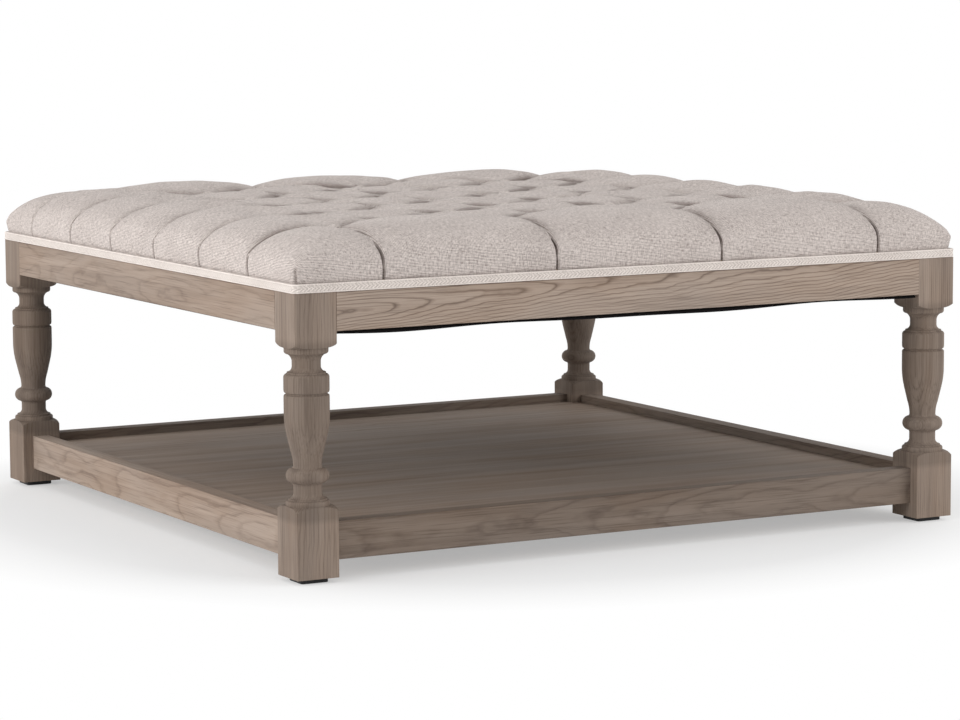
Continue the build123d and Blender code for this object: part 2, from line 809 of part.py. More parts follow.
def build():
    """Make and write every piece."""
    os.makedirs("parts", exist_ok=True)
    for name, (sx, sy) in corners.items():
        save(f"leg_{name}", leg(sx, sy))
        save(f"glide_{name}", glide(sx, sy))
        save(f"corner_block_{name}", corner_block(name))
    save("glide_screws", *[glide_screw(sx, sy) for sx, sy in corners.values()])
    save("corner_block_screws", *[one for name in corners for one in corner_screws(name, screw)])
    for side in side_turns:
        save(f"seat_rail_{side}", seat_rail(side))
        save(f"shelf_rail_{side}", shelf_rail(side))
        save(f"shelf_cleat_{side}", shelf_cleat(side))
    save("cleat_screws", *[one for side in side_turns for one in cleat_screw_set(side, screw)])
    save("shelf_screws", *[one for side in side_turns for one in shelf_screw_set(side, screw)])
    save("shelf_panel", shelf_panel())
    save("cross_rail_front", cross_rail(-1))
    save("cross_rail_back", cross_rail(1))
    board_screws = [corner_board_screw(name, screw) for name in corners]
    for sign in (-1, 1):
        board_screws += cross_rail_screw_set(sign, screw, frame_height - cross_rail_height)
    save("seat_board_screws", *board_screws)
    save("seat_board", seat_board())
    save("foam_block", foam_block())
    save("wadding_layer", wadding_layer())
    save("tufted_cover", tufted_cover())
    save("cover_staples", *[one for side in side_turns for one in cover_staples(side)])
    save("tuft_buttons", *[Pos(x, y, tuft_seat) * button() for x, y in tuft_places()])
    save("tuft_twines", *[Pos(x, y) * twine() for x, y in tuft_places()])
    save("twine_washers", *[Pos(x, y) * washer() for x, y in tuft_places()])
    save("gimp_braid", gimp_braid())
    save("dust_cover", dust_cover())
    save("dust_cover_staples", *[one for side in side_turns for one in dust_staples(side)])


build()
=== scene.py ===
import math

import bpy
import numpy as np
from mathutils import Matrix, Vector
from mathutils.bvhtree import BVHTree


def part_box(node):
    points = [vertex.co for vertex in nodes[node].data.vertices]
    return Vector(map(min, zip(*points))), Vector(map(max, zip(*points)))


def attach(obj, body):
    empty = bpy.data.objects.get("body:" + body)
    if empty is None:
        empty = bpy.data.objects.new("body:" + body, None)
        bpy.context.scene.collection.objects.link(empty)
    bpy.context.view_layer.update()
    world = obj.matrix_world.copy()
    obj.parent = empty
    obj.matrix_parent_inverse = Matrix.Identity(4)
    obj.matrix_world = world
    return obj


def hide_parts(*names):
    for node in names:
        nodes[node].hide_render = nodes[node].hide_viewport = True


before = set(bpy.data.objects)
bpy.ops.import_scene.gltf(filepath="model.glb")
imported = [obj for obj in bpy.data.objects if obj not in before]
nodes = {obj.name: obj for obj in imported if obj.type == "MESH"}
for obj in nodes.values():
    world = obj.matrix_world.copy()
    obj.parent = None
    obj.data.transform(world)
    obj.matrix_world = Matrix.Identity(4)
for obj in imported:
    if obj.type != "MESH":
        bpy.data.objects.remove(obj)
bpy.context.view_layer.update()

MM = 0.001


def rise(x, width):
    """0 up to x = 0, then straight up to 1 at a given width."""
    return np.clip(x / width, 0, 1)


def bell(x, width):
    """1 at x = 0, falling away on both sides."""
    return np.exp(-((x / width) ** 2))


# Camera: place in metres, turns in radians, lens and sensor in millimetres
CAMERA_PLACE = (-2.2758, -4.2373, 0.7642)
CAMERA_YAW, CAMERA_PITCH, CAMERA_ROLL = -0.4987, -0.1161, -0.0059
CAMERA_LENS, SENSOR_WIDTH = 126.5, 36.0
CLIP_NEAR, CLIP_FAR = 0.1, 400.0


def add_camera():
    level = math.cos(CAMERA_PITCH)
    fwd = Vector((-math.sin(CAMERA_YAW) * level, math.cos(CAMERA_YAW) * level, math.sin(CAMERA_PITCH)))
    right = Vector((math.cos(CAMERA_YAW), math.sin(CAMERA_YAW), 0))
    up = right.cross(fwd)
    rolled_right = math.cos(CAMERA_ROLL) * right + math.sin(CAMERA_ROLL) * up
    rolled_up = -math.sin(CAMERA_ROLL) * right + math.cos(CAMERA_ROLL) * up
    data = bpy.data.cameras.new("camera")
    data.sensor_fit = "HORIZONTAL"
    data.sensor_width = SENSOR_WIDTH
    data.lens = CAMERA_LENS
    data.clip_start, data.clip_end = CLIP_NEAR, CLIP_FAR
    cam = bpy.data.objects.new("camera", data)
    bpy.context.scene.collection.objects.link(cam)
    rows = [(r, u, -f, p) for r, u, f, p in zip(rolled_right, rolled_up, fwd, CAMERA_PLACE)]
    cam.matrix_world = Matrix([*rows, (0, 0, 0, 1)])
    bpy.context.scene.camera = cam


add_camera()


# Node helpers
class Net:
    """A small helper for writing the shader nodes of a material, or of the world."""

    def __init__(self, name, world=False):
        self.data = (bpy.data.worlds if world else bpy.data.materials).new(name)
        self.data.use_nodes = True
        self.tree = self.data.node_tree
        self.tree.nodes.clear()
        self.out = self.tree.nodes.new("ShaderNodeOutputWorld" if world else "ShaderNodeOutputMaterial")

    def node(self, kind, **props):
        n = self.tree.nodes.new(kind)
        for key, value in props.items():
            setattr(n, key, value)
        return n

    def link(self, a, b):
        self.tree.links.new(a, b)

    def put(self, socket, value):
        if hasattr(value, "links") or hasattr(value, "is_output"):
            self.link(value, socket)
        elif value is not None:
            socket.default_value = value

    def math(self, op, a, b=None, c=None):
        n = self.node("ShaderNodeMath", operation=op)
        for i, v in enumerate((a, b, c)):
            if v is not None:
                self.put(n.inputs[i], v)
        return n.outputs[0]

    def add(self, a, b):
        return self.math("ADD", a, b)

    def mul(self, a, b):
        return self.math("MULTIPLY", a, b)

    def coords(self, scale=(1, 1, 1), rotation=(0, 0, 0), location=(0, 0, 0), source="Object"):
        tc = self.node("ShaderNodeTexCoord")
        m = self.node("ShaderNodeMapping")
        m.inputs["Location"].default_value = location
        m.inputs["Rotation"].default_value = rotation
        m.inputs["Scale"].default_value = scale
        self.link(tc.outputs[source], m.inputs["Vector"])
        return m.outputs[0]

    def noise(self, vector, scale, detail, rough):
        n = self.node("ShaderNodeTexNoise")
        self.put(n.inputs["Vector"], vector)
        n.inputs["Scale"].default_value = scale
        n.inputs["Detail"].default_value = detail
        n.inputs["Roughness"].default_value = rough
        return n.outputs[0]

    def ramp(self, fac, stops):
        n = self.node("ShaderNodeValToRGB")
        e = n.color_ramp.elements
        e.remove(e[1])
        for i, (pos, col) in enumerate(stops):
            stop = e[0] if i == 0 else e.new(pos)
            stop.position = pos
            stop.color = (*((col, col, col) if isinstance(col, (int, float)) else col), 1.0)
        self.put(n.inputs[0], fac)
        return n.outputs[0]

    def mix(self, fac, a, b, mode="MIX"):
        n = self.node("ShaderNodeMix", data_type="RGBA", blend_type=mode)
        self.put(n.inputs[0], fac)
        for socket, value in ((n.inputs[6], a), (n.inputs[7], b)):
            if isinstance(value, tuple):
                socket.default_value = (*value, 1.0)
            else:
                self.put(socket, value)
        return n.outputs[2]

    def xyz(self, vector):
        n = self.node("ShaderNodeSeparateXYZ")
        self.link(vector, n.inputs[0])
        return n.outputs

    def vec(self, x, y, z):
        n = self.node("ShaderNodeCombineXYZ")
        for i, v in enumerate((x, y, z)):
            self.put(n.inputs[i], v)
        return n.outputs[0]

    def bump(self, height, distance, strength):
        n = self.node("ShaderNodeBump")
        n.inputs["Strength"].default_value = strength
        n.inputs["Distance"].default_value = distance
        self.link(height, n.inputs["Height"])
        return n.outputs[0]

    def shader(self, color, rough, normal, specular=0.3, metallic=0.0, sheen=0.0, sheen_rough=0.5):
        b = self.node("ShaderNodeBsdfPrincipled")
        self.link(color, b.inputs["Base Color"])
        self.put(b.inputs["Roughness"], rough)
        b.inputs["Specular IOR Level"].default_value = specular
        b.inputs["Metallic"].default_value = metallic
        b.inputs["Sheen Weight"].default_value = sheen
        b.inputs["Sheen Roughness"].default_value = sheen_rough
        self.link(normal, b.inputs["Normal"])
        self.link(b.outputs[0], self.out.inputs[0])
        return self.data

    def plain(self, kind, grey=1.0):
        """A shader of one grey."""
        n = self.node(kind)
        n.inputs[0].default_value = (grey, grey, grey, 1)
        return n

    def seen(self):
        """1 for what the camera sees, straight or in a mirror or glass, and 0 for light on things."""
        path = self.node("ShaderNodeLightPath")
        bent = self.math("MAXIMUM", path.outputs["Is Glossy Ray"], path.outputs["Is Transmission Ray"])
        return self.math("MAXIMUM", path.outputs["Is Camera Ray"], bent)

    def blend(self, fac, a, b):
        """Puts a mix of two shaders on the output."""
        mix = self.node("ShaderNodeMixShader")
        for socket, value in zip(mix.inputs, (fac, a.outputs[0], b.outputs[0])):
            self.link(value, socket)
        self.link(mix.outputs[0], self.out.inputs[0])


def lin(r, g, b):
    """A colour written in 0 to 255, as linear light."""
    return tuple(((v / 255 + 0.055) / 1.055) ** 2.4 if v > 10 else v / 255 / 12.92 for v in (r, g, b))


# Materials
ALONG = {"x": (0, 0, 0), "y": (0, 0, math.pi / 2), "z": (0, math.pi / 2, 0)}
# the last two in metres
RINGS_PER_METRE = 300.0
WAIST_SHADE_BLEND = 0.004
THREAD_PITCH = 0.0019


def board_middle(node, grain):
    """The shift that puts a board's middle on the line that its grain follows."""
    low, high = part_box(node)
    x, y, z = ((a + b) / 2 for a, b in zip(low, high))
    return {"x": (0, -y, -z), "y": (0, -x, -z), "z": (0, -y, x)}[grain]


def oak(name, node, grain, seed, tone, pith, tilt, ring, dark=0.0, waist_shade=None, lift=0.0):
    """Weathered, limed oak.

    The grain runs along an axis. pith is where the middle of the tree lay, across the grain from the board's
    own middle, and tilt and lift are how far it leans off for each metre. ring is the rings' share of the
    colour."""
    n = Net(name)

    def tint(r, g, b):
        return tuple(c * tone for c in lin(r, g, b))

    x0, y, z = n.xyz(n.coords(rotation=ALONG[grain], location=board_middle(node, grain)))
    x = n.add(x0, float(np.random.default_rng(seed).uniform(-3, 3)))
    slow = n.noise(n.vec(n.mul(x, 1.3), n.mul(y, 3.0), n.mul(z, 3.0)), 2.2, 2.0, 0.5)
    quick = n.noise(n.vec(n.mul(x, 4.0), n.mul(y, 9.0), n.mul(z, 9.0)), 3.0, 3.0, 0.55)
    # rings round the pith, which wanders a little
    drift = n.add(n.mul(n.add(slow, -0.5), 0.026), n.mul(n.add(quick, -0.5), 0.006))
    from_y = n.add(n.add(n.add(y, -pith[0]), n.mul(x0, tilt)), drift)
    from_z = n.add(n.add(n.add(z, -pith[1]), n.mul(x0, -lift)), n.mul(n.add(quick, -0.5), 0.005))
    radius = n.math("SQRT", n.add(n.mul(from_y, from_y), n.mul(from_z, from_z)))
    fine = n.noise(n.vec(n.mul(x, 6.0), n.mul(y, 120.0), n.mul(z, 120.0)), 1.0, 3.0, 0.6)
    turn = n.math("FRACT", n.add(n.mul(radius, RINGS_PER_METRE), n.mul(fine, 0.40)))
    ring_shade = n.ramp(turn, [(0.0, 0.04), (0.09, 0.42), (0.28, 0.90), (0.86, 0.86), (1.0, 0.04)])
    # open pores, streaks and blotches
    dash = n.noise(n.vec(n.mul(x, 14.0), n.mul(y, 620.0), n.mul(z, 620.0)), 1.0, 2.0, 0.5)
    pores = n.ramp(dash, [(0.30, 0.0), (0.43, 0.75), (0.52, 1.0)])
    streak = n.noise(n.vec(n.mul(x, 1.6), n.mul(y, 52.0), n.mul(z, 52.0)), 1.0, 4.0, 0.62)
    blotch = n.noise(n.vec(n.mul(x, 2.0), n.mul(y, 7.0), n.mul(z, 7.0)), 1.6, 3.0, 0.6)
    value = n.add(n.mul(ring_shade, ring), n.mul(streak, 1 - ring))
    tones = [(0.28, tint(118, 100, 88)), (0.52, tint(160, 141, 126)), (0.76, tint(184, 165, 150))]
    base_color = n.ramp(value, tones)
    grey = n.mix(n.ramp(blotch, [(0.42, 0.0), (0.68, 0.50)]), base_color, tint(167, 154, 144))
    brown = n.mix(n.ramp(blotch, [(0.30, 0.40), (0.48, 0.0)]), grey, tint(150, 127, 109))
    hidden = n.mul(n.math("SUBTRACT", 1.0, pores), 0.40 + dark)
    color = n.mix(hidden, brown, tint(98, 82, 71))
    if waist_shade:
        # painted shade: the turned part is darker than the square blocks
        low_z, high_z, share = waist_shade
        up = n.xyz(n.coords())[2]
        above = n.ramp(up, [(low_z - WAIST_SHADE_BLEND, 0.0), (low_z + WAIST_SHADE_BLEND, 1.0)])
        below = n.ramp(up, [(high_z - WAIST_SHADE_BLEND, 1.0), (high_z + WAIST_SHADE_BLEND, 0.0)])
        color = n.mix(n.mul(above, below), color, n.mix(1.0, color, (share,) * 3, "MULTIPLY"))
    height = n.add(n.mul(pores, 0.7), n.mul(value, 0.5))
    rough = n.math("MULTIPLY_ADD", streak, 0.14, 0.64)
    return n.shader(color, rough, n.bump(height, 0.00035, 0.55), specular=0.2)


def linen(name, source="UV"):
    """Plain weave with short slubs, laid along the fabric's own coordinates, in metres."""
    n = Net(name)
    uv = n.coords(source=source)
    u, v, _ = n.xyz(uv)
    wob = n.noise(uv, 30.0, 2.0, 0.5)
    u2, v2 = n.add(u, n.mul(wob, 0.0016)), n.add(v, n.mul(wob, -0.0013))
    k = math.pi / THREAD_PITCH
    warp = n.math("ABSOLUTE", n.math("SINE", n.mul(u2, k)))
    weft = n.math("ABSOLUTE", n.math("SINE", n.mul(v2, k)))
    cross = n.mul(n.math("COSINE", n.mul(u2, k)), n.math("COSINE", n.mul(v2, k)))
    over = n.math("MULTIPLY_ADD", cross, 0.5, 0.5)
    thread = n.add(n.mul(warp, over), n.mul(weft, n.math("SUBTRACT", 1.0, over)))
    slub_u = n.noise(n.vec(n.mul(u, 150.0), n.mul(v, 760.0), 0.0), 1.0, 1.0, 0.5)
    slub_v = n.noise(n.vec(n.mul(u, 760.0), n.mul(v, 150.0), 3.0), 1.0, 1.0, 0.5)
    cloud = n.noise(uv, 16.0, 4.0, 0.6)
    slub = n.add(n.mul(slub_u, 0.5), n.mul(slub_v, 0.5))
    shade = n.add(n.mul(thread, 0.46), n.add(n.mul(slub, 0.66), n.mul(cloud, 0.12)))
    tones = [(0.54, lin(120, 109, 103)), (0.675, lin(192, 181, 176)), (0.80, lin(230, 220, 214))]
    color = n.ramp(shade, tones)
    # painted shade in the folds, read from the mesh
    fold_painted_shade = n.node("ShaderNodeAttribute", attribute_name="fold").outputs["Fac"]
    color = n.mix(n.mul(fold_painted_shade, 0.78), color, lin(92, 78, 71))
    height = n.add(thread, n.mul(slub, 1.1))
    return n.shader(color, 0.9, n.bump(height, 0.0002, 0.6), specular=0.08, sheen=0.08, sheen_rough=0.6)


def braid_cloth(name):
    """The yarn of the braid, with painted shade in the valleys between strands and beside the cords."""
    n = Net(name)
    at = n.coords(source="UV")
    u, v, _ = n.xyz(at)
    fine = n.noise(n.vec(n.mul(u, 700.0), n.mul(v, 260.0), 0.0), 1.0, 3.0, 0.6)
    cloud = n.noise(at, 12.0, 3.0, 0.6)
    shade = n.add(n.mul(fine, 0.7), n.mul(cloud, 0.3))
    tones = [(0.30, lin(200, 190, 183)), (0.52, lin(236, 226, 219)), (0.72, lin(250, 243, 236))]
    color = n.ramp(shade, tones)
    fold_painted_shade = n.node("ShaderNodeAttribute", attribute_name="fold").outputs["Fac"]
    # painted shade, read from the mesh
    color = n.mix(n.mul(fold_painted_shade, 0.62), color, lin(128, 114, 106))
    return n.shader(color, 0.85, n.bump(fine, 0.0002, 0.6), specular=0.12, sheen=0.15)


def simple(name, low, high, scale, stretch=(1, 1, 1), rough=0.7, bump=0.0002, metallic=0.0, specular=0.3):
    """A material of two tones, mixed by one noise."""
    n = Net(name)
    f = n.noise(n.coords(scale=stretch), scale, 4.0, 0.6)
    color = n.ramp(f, [(0.32, low), (0.68, high)])
    r = n.math("MULTIPLY_ADD", f, 0.15, rough - 0.07)
    return n.shader(color, r, n.bump(f, bump, 0.6), specular=specular, metallic=metallic)


def dress(names, material):
    """Gives each of these nodes the one material."""
    for name in names:
        ob = nodes[name]
        ob.data.materials.clear()
        ob.data.materials.append(material)
        for p in ob.data.polygons:
            p.material_index = 0


corners = ("front_left", "front_right", "back_left", "back_right")
LEG_TONE = {"front_left": 0.74, "front_right": 0.80, "back_left": 0.68, "back_right": 0.60}
# lowest and highest point of the turned part in metres, and the share of colour left by its painted shade
LEG_WAIST_SHADE = (0.078, 0.303, 0.76)
for i, c in enumerate(corners):
    leg, pith = f"leg_{c}", (0.03 * (-1) ** i, 0.05)
    dress([leg], oak(f"oak_{leg}", leg, "z", 11 + i, LEG_TONE[c], pith, 0.02, 0.16, waist_shade=LEG_WAIST_SHADE))
# each rail's grain, seed, tone, pith, tilt and ring share
# the low tones of the front, back and right shelf rails are painted shade
RAIL_OAK = {
    "seat_rail_front": ("x", 21, 0.90, (0.013, 0.0235), -0.030, 0.50),
    "shelf_rail_front": ("x", 31, 0.56, (0.06, 0.0), 0.02, 0.20),
    "seat_rail_back": ("x", 22, 0.84, (-0.05, 0.0), 0.04, 0.40),
    "shelf_rail_back": ("x", 32, 0.50, (0.05, 0.0), 0.03, 0.20),
    "seat_rail_left": ("y", 23, 0.86, (0.075, -0.004), 0.012, 0.16),
    "shelf_rail_left": ("y", 33, 1.0, (0.07, 0.0), 0.015, 0.18),
    "seat_rail_right": ("y", 24, 0.84, (-0.05, 0.0), 0.04, 0.36),
    "shelf_rail_right": ("y", 34, 0.62, (0.05, 0.0), 0.02, 0.20),
}
RAIL_LIFT = {"seat_rail_front": 0.054}
for rail, recipe in RAIL_OAK.items():
    dress([rail], oak(f"oak_{rail}", rail, *recipe, lift=RAIL_LIFT.get(rail, 0.0)))
dress(["shelf_panel"], oak("oak_veneer", "shelf_panel", "x", 41, 0.88, (0.4, 0.30), 0.01, 0.2, dark=-0.2))
PALE_WOOD = lin(176, 140, 96), lin(214, 184, 138)
softwood = simple("softwood", *PALE_WOOD, 1.0, (4, 60, 60))
dress(["shelf_cleat_front", "shelf_cleat_back"], softwood)
dress(["shelf_cleat_left", "shelf_cleat_right"], simple("softwood_y", *PALE_WOOD, 1.0, (60, 4, 60)))
dress([f"corner_block_{c}" for c in corners], softwood)
dress(["cross_rail_front", "cross_rail_back"], softwood)
dress(["seat_board"], simple("plywood", lin(184, 150, 108), lin(212, 182, 140), 1.0, (3, 40, 400)))
foam = simple("foam", lin(222, 212, 178), lin(240, 232, 204), 900.0, rough=0.9, bump=0.0006, specular=0.1)
dress(["foam_block"], foam)
wadding = simple(
    "wadding", lin(225, 224, 219), lin(246, 245, 241), 120.0, rough=0.95, bump=0.002, specular=0.1
)
dress(["wadding_layer"], wadding)
dress(["tuft_twines"], simple("twine", lin(196, 182, 150), lin(226, 214, 186), 500.0, (1, 1, 3), 0.8))
steel = simple(
    "zinc_steel",
    lin(150, 152, 155),
    lin(196, 198, 200),
    160.0,
    rough=0.38,
    bump=0.00008,
    metallic=1.0,
    specular=0.5,
)
dress(
    [
        "twine_washers",
        "cover_staples",
        "dust_cover_staples",
        "seat_board_screws",
        "corner_block_screws",
        "cleat_screws",
        "shelf_screws",
        "glide_screws",
    ],
    steel,
)
plastic = simple("black_plastic", lin(24, 24, 25), lin(40, 40, 41), 420.0, rough=0.55, bump=0.00006)
dress([f"glide_{c}" for c in corners], plastic)


# Cushion: plan of the cloth
# Millimetres in the part's frame. The pleats and tufts are deeper here than in the CAD part.
HALF = 500.5
TOP = 445.0
SHOULDER = 394.0
RUN = 97.0
RISE = TOP - SHOULDER
FLAT = HALF - RUN
GIMP_TOP = 377.0
SKIRT_LOW = 366.0
# how far the skirt is drawn in at the braid
SKIRT_DRAW = 1.5
# corner radius, how much more it is half way down the crown, and over what length it starts
CORNER_R, CORNER_SWELL, CORNER_START = 12.0, 36.0, 25
# the pleats are deepest on top, and grow shallow down the slope by this power
PLEAT_TOP_DEPTH, PLEAT_SIDE_DEPTH, SLOPE_POWER = 14.5, 1.8, 1.6
TUFT_DEPTH, TUFT_REACH, TUFT_POWER = 16.0, 27.0, 1.6
BUTTON_R = 9
TUFTS_WIDE, TUFTS_DEEP = 4, 6
# the pattern lies this far behind the middle; then its outermost tufts, and its steps
SHIFT_Y = 16.0
EDGE_X, EDGE_Y = 375.0, 375.0
STEP_X, STEP_Y = 250.0, 150.0
# from a pleat to the middle of a diamond, and the length of a diamond's side
DIAMOND_INNER, DIAMOND_SIDE = 64.3, 145.8
# how far from its pleats a puff is full, and the powers of its section: the lower, the fuller
CORNER_PUFF, EDGE_PUFF = 170, 110
FIELD_POWER, SIDE_POWER, EDGE_POWER = 0.36, 0.34, 0.30
# which sides of a patch are pleats
ALL_PLEATS, TWO_PLEATS = (1, 1, 1, 1), (1, 0, 0, 1)

# steps of the coarse cloth along a diamond and down a side, and how the simulation is run
COARSE_FIELD, COARSE_SIDE = 16, 20
CLOTH_FRAMES, MOVE_CAP = 16, 3.0
# rows of the fine cloth: distances from a pleat, and from the cloth's own edge
FIELD_STEPS, SIDE_ROWS = 24, 10
NEAR_PLEAT = (0.0, 0.75, 1.7, 3.6, 7.2)
NEAR_EDGE = (50, 43, 38, 34, 31, 28, 25.5, 23, 20.5, 18, 15.5, 13, 10.5, 8, 6, 4, 2, 0)
CREASE_DEPTH, CREASE_WIDTH = 6.0, 0.9
FAN_HEIGHT = 2.3
# the dart is painted shade; only above DART_OPEN is it also cut into the cloth
DART_TOP, DART_OPEN, DART_FOOT = 400, 377.5, 372
DART_DEPTH, DART_WIDTH = 4.0, 1.5
# how near the wadding the cloth may come, and how far out the rays that test it start
CLEARANCE, RAY_START = 1.3, 40
# where the cloth turns in under the board
LIP_HALF, LIP_TOP = 496.35, 377.4

# the section of the crown, a quarter of an ellipse, unrolled
phi = np.linspace(0, math.pi / 2, 400)
seg = np.hypot(RUN * np.cos(phi), RISE * np.sin(phi))
arc = np.concatenate([[0], np.cumsum((seg[1:] + seg[:-1]) / 2 * np.diff(phi))])
S_SHOULDER = arc[-1]
S_GIMP = S_SHOULDER + (SHOULDER - GIMP_TOP)
S_END = S_SHOULDER + (SHOULDER - SKIRT_LOW)
REACH = FLAT + S_END


def profile(s):
    """Half size, height and corner radius of the ring at an unrolled distance from the flat of the top."""
    s = np.asarray(s, float)
    p = np.interp(s, arc, phi)
    half = FLAT + RUN * np.sin(p)
    z = SHOULDER + RISE * np.cos(p)
    radius = (CORNER_R + CORNER_SWELL * np.sin(2 * p)) * rise(s, CORNER_START)
    below = s > S_SHOULDER
    half = np.where(below, HALF - SKIRT_DRAW * rise(s - S_SHOULDER, SHOULDER - GIMP_TOP), half)
    z = np.where(below, SHOULDER - (s - S_SHOULDER), z)
    return half, z, np.where(below, CORNER_R, radius)


def base(u, v):
    """From the unrolled cloth to the crest surface, in millimetres."""
    u, v = np.asarray(u, float), np.asarray(v, float)
    s, t = np.abs(u) - FLAT, np.abs(v) - FLAT
    rho = np.maximum(np.maximum(s, t), 0)
    half, z, radius = profile(rho)
    x, y = u.copy(), v.copy()
    only_s = (s > 0) & (t <= 0)
    only_t = (t > 0) & (s <= 0)
    x = np.where(only_s, np.sign(u) * half, x)
    y = np.where(only_t, np.sign(v) * half, y)
    both = (s > 0) & (t > 0)
    # along a quarter of the ring, from the plane of the flat's edge to the corner's diagonal
    straight = half - radius - FLAT
    length = straight + radius * math.pi / 4
    frac = np.where(both, np.minimum(s, t) / np.maximum(rho, 1e-9), 0)
    # even spacing near the flat, stretched with the ring further out
    way = frac * length
    on_arc = way > straight
    ang = np.where(on_arc, (way - straight) / np.maximum(radius, 1e-9), 0)
    along = np.where(on_arc, FLAT + straight + radius * np.sin(ang), FLAT + way)
    out = np.where(on_arc, half - radius + radius * np.cos(ang), half)
    s_leads = s >= t
    cx = np.where(s_leads, out, along)
    cy = np.where(s_leads, along, out)
    x = np.where(both, np.sign(u) * cx, x)
    y = np.where(both, np.sign(v) * cy, y)
    return np.stack([x, y, z], -1)


def base_normal(u, v, e=1.5):
    """The outward direction of the crest surface, from steps of e millimetres."""
    du = base(u + e, v) - base(u - e, v)
    dv = base(u, v + e) - base(u, v - e)
    n = np.cross(du, dv)
    return n / np.maximum(np.linalg.norm(n, axis=-1, keepdims=True), 1e-9)


tufts = []
for row in range(2 * TUFTS_DEEP - 1):
    odd = row % 2
    for col in range(TUFTS_WIDE - odd):
        tufts.append((-EDGE_X + (col + odd / 2) * STEP_X, -EDGE_Y + row * STEP_Y / 2 + SHIFT_Y))
tufts = np.array(tufts)


def patches():
    """Four-sided patches of the unrolled cloth.

    Each is its corners a, b, c, d and which of its sides a-b, b-c, c-d, d-a are pleats."""
    xs = [-EDGE_X + i * STEP_X for i in range(TUFTS_WIDE)]
    ys = [-EDGE_Y + SHIFT_Y + i * STEP_Y for i in range(TUFTS_DEEP)]
    hx, hy = STEP_X / 2, STEP_Y / 2
    middles = [(xs[i] + hx, ys[j]) for i in range(TUFTS_WIDE - 1) for j in range(1, TUFTS_DEEP - 1)]
    middles += [(xs[i], ys[j] + hy) for i in range(1, TUFTS_WIDE - 1) for j in range(TUFTS_DEEP - 1)]
    made = [((x - hx, y), (x, y - hy), (x + hx, y), (x, y + hy), ALL_PLEATS) for x, y in middles]
    for i in range(TUFTS_WIDE - 1):
        m = xs[i] + hx
        for sign, y0 in ((-1, ys[0]), (1, ys[-1])):
            end = sign * REACH
            for x0 in (xs[i], xs[i + 1]):
                made.append(((x0, y0), (m, y0 - sign * hy), (m, end), (x0, end), TWO_PLEATS))
    for j in range(TUFTS_DEEP - 1):
        m = ys[j] + hy
        for sign, x0 in ((-1, xs[0]), (1, xs[-1])):
            end = sign * REACH
            for y0 in (ys[j], ys[j + 1]):
                made.append(((x0, y0), (x0 - sign * hx, m), (end, m), (end, y0), TWO_PLEATS))
    for sx, x0 in ((-1, xs[0]), (1, xs[-1])):
        for sy, y0 in ((-1, ys[0]), (1, ys[-1])):
            made.append(((x0, y0), (x0, sy * REACH), (sx * REACH, sy * REACH), (sx * REACH, y0), TWO_PLEATS))
    return made


def at_corner(patch):
    """Whether a patch lies at a corner of the cushion."""
    return abs(patch[2][0]) == REACH and abs(patch[2][1]) == REACH


def past_flat(uv):
    """How far a point of the plan lies outside the flat of the top."""
    return np.maximum(np.maximum(np.abs(uv[..., 0]), np.abs(uv[..., 1])) - FLAT, 0)


def grid(patch, us, vs):
    """Points of a patch: us run along a-b, vs run along a-d."""
    a, b, c, d = (np.array(p, float) for p in patch[:4])
    U, V = np.meshgrid(us, vs, indexing="ij")
    U, V = U[..., None], V[..., None]
    return a * (1 - U) * (1 - V) + b * U * (1 - V) + c * U * V + d * (1 - U) * V


def span(p, q):
    """The length of the stretch p-q."""
    return np.hypot(*(np.array(q) - np.array(p)))


def line_distance(p, a, b):
    """Distances from points to the stretch a-b."""
    a, b = np.array(a), np.array(b)
    d = b - a
    t = np.clip(((p - a) @ d) / (d @ d), 0, 1)
    near = a + t[..., None] * d
    return np.hypot(*np.moveaxis(p - near, -1, 0))


def swell(uv, p, q, width, power):
    """0 on the line p-q, rising to 1 at a given distance from it."""
    return np.sin(math.pi / 2 * rise(line_distance(uv, p, q), width)) ** power


def puff_share(patch, uv):
    """0 on the pleats, 1 in the middle of a puff."""
    a, b, c, d, pleated = patch
    if pleated == ALL_PLEATS:
        share = 1.0
        for p, q in ((a, b), (b, c), (c, d), (d, a)):
            share = share * swell(uv, p, q, 2 * DIAMOND_INNER, FIELD_POWER)
        return share
    if at_corner(patch):
        return swell(uv, d, a, CORNER_PUFF, SIDE_POWER) * swell(uv, a, b, CORNER_PUFF, SIDE_POWER)
    share = swell(uv, d, a, span(c, d), SIDE_POWER)
    share = share * swell(uv, a, b, EDGE_PUFF, EDGE_POWER)
    mirrored = 2 * np.array(b) - np.array(a)
    other = (mirrored[0] if abs(c[1]) == REACH else a[0], mirrored[1] if abs(c[0]) == REACH else a[1])
    return share * swell(uv, other, b, EDGE_PUFF, EDGE_POWER)


def slope_share(uv):
    """0 at the shoulder and below, 1 on top."""
    return np.cos(np.interp(past_flat(uv), arc, phi)) ** SLOPE_POWER


def nearest_tuft(uv):
    """The distance to the nearest tuft, and which tuft that is."""
    near = np.sqrt(((uv[..., None, :] - tufts) ** 2).sum(-1))
    return near.min(-1), near.argmin(-1)


def rough_shape(patch, uv):
    """The puffs of a patch before the cloth is relaxed."""
    depth = PLEAT_SIDE_DEPTH + (PLEAT_TOP_DEPTH - PLEAT_SIDE_DEPTH) * slope_share(uv)
    tuck = rise(past_flat(uv) - S_SHOULDER, S_GIMP - S_SHOULDER)
    pull = (TUFT_DEPTH - PLEAT_TOP_DEPTH) * np.exp(-((nearest_tuft(uv)[0] / TUFT_REACH) ** TUFT_POWER))
    sink = depth * (1 - puff_share(patch, uv)) * (1 - tuck) + tuck * SKIRT_DRAW + pull
    return base(uv[..., 0], uv[..., 1]) - base_normal(uv[..., 0], uv[..., 1]) * sink[..., None]


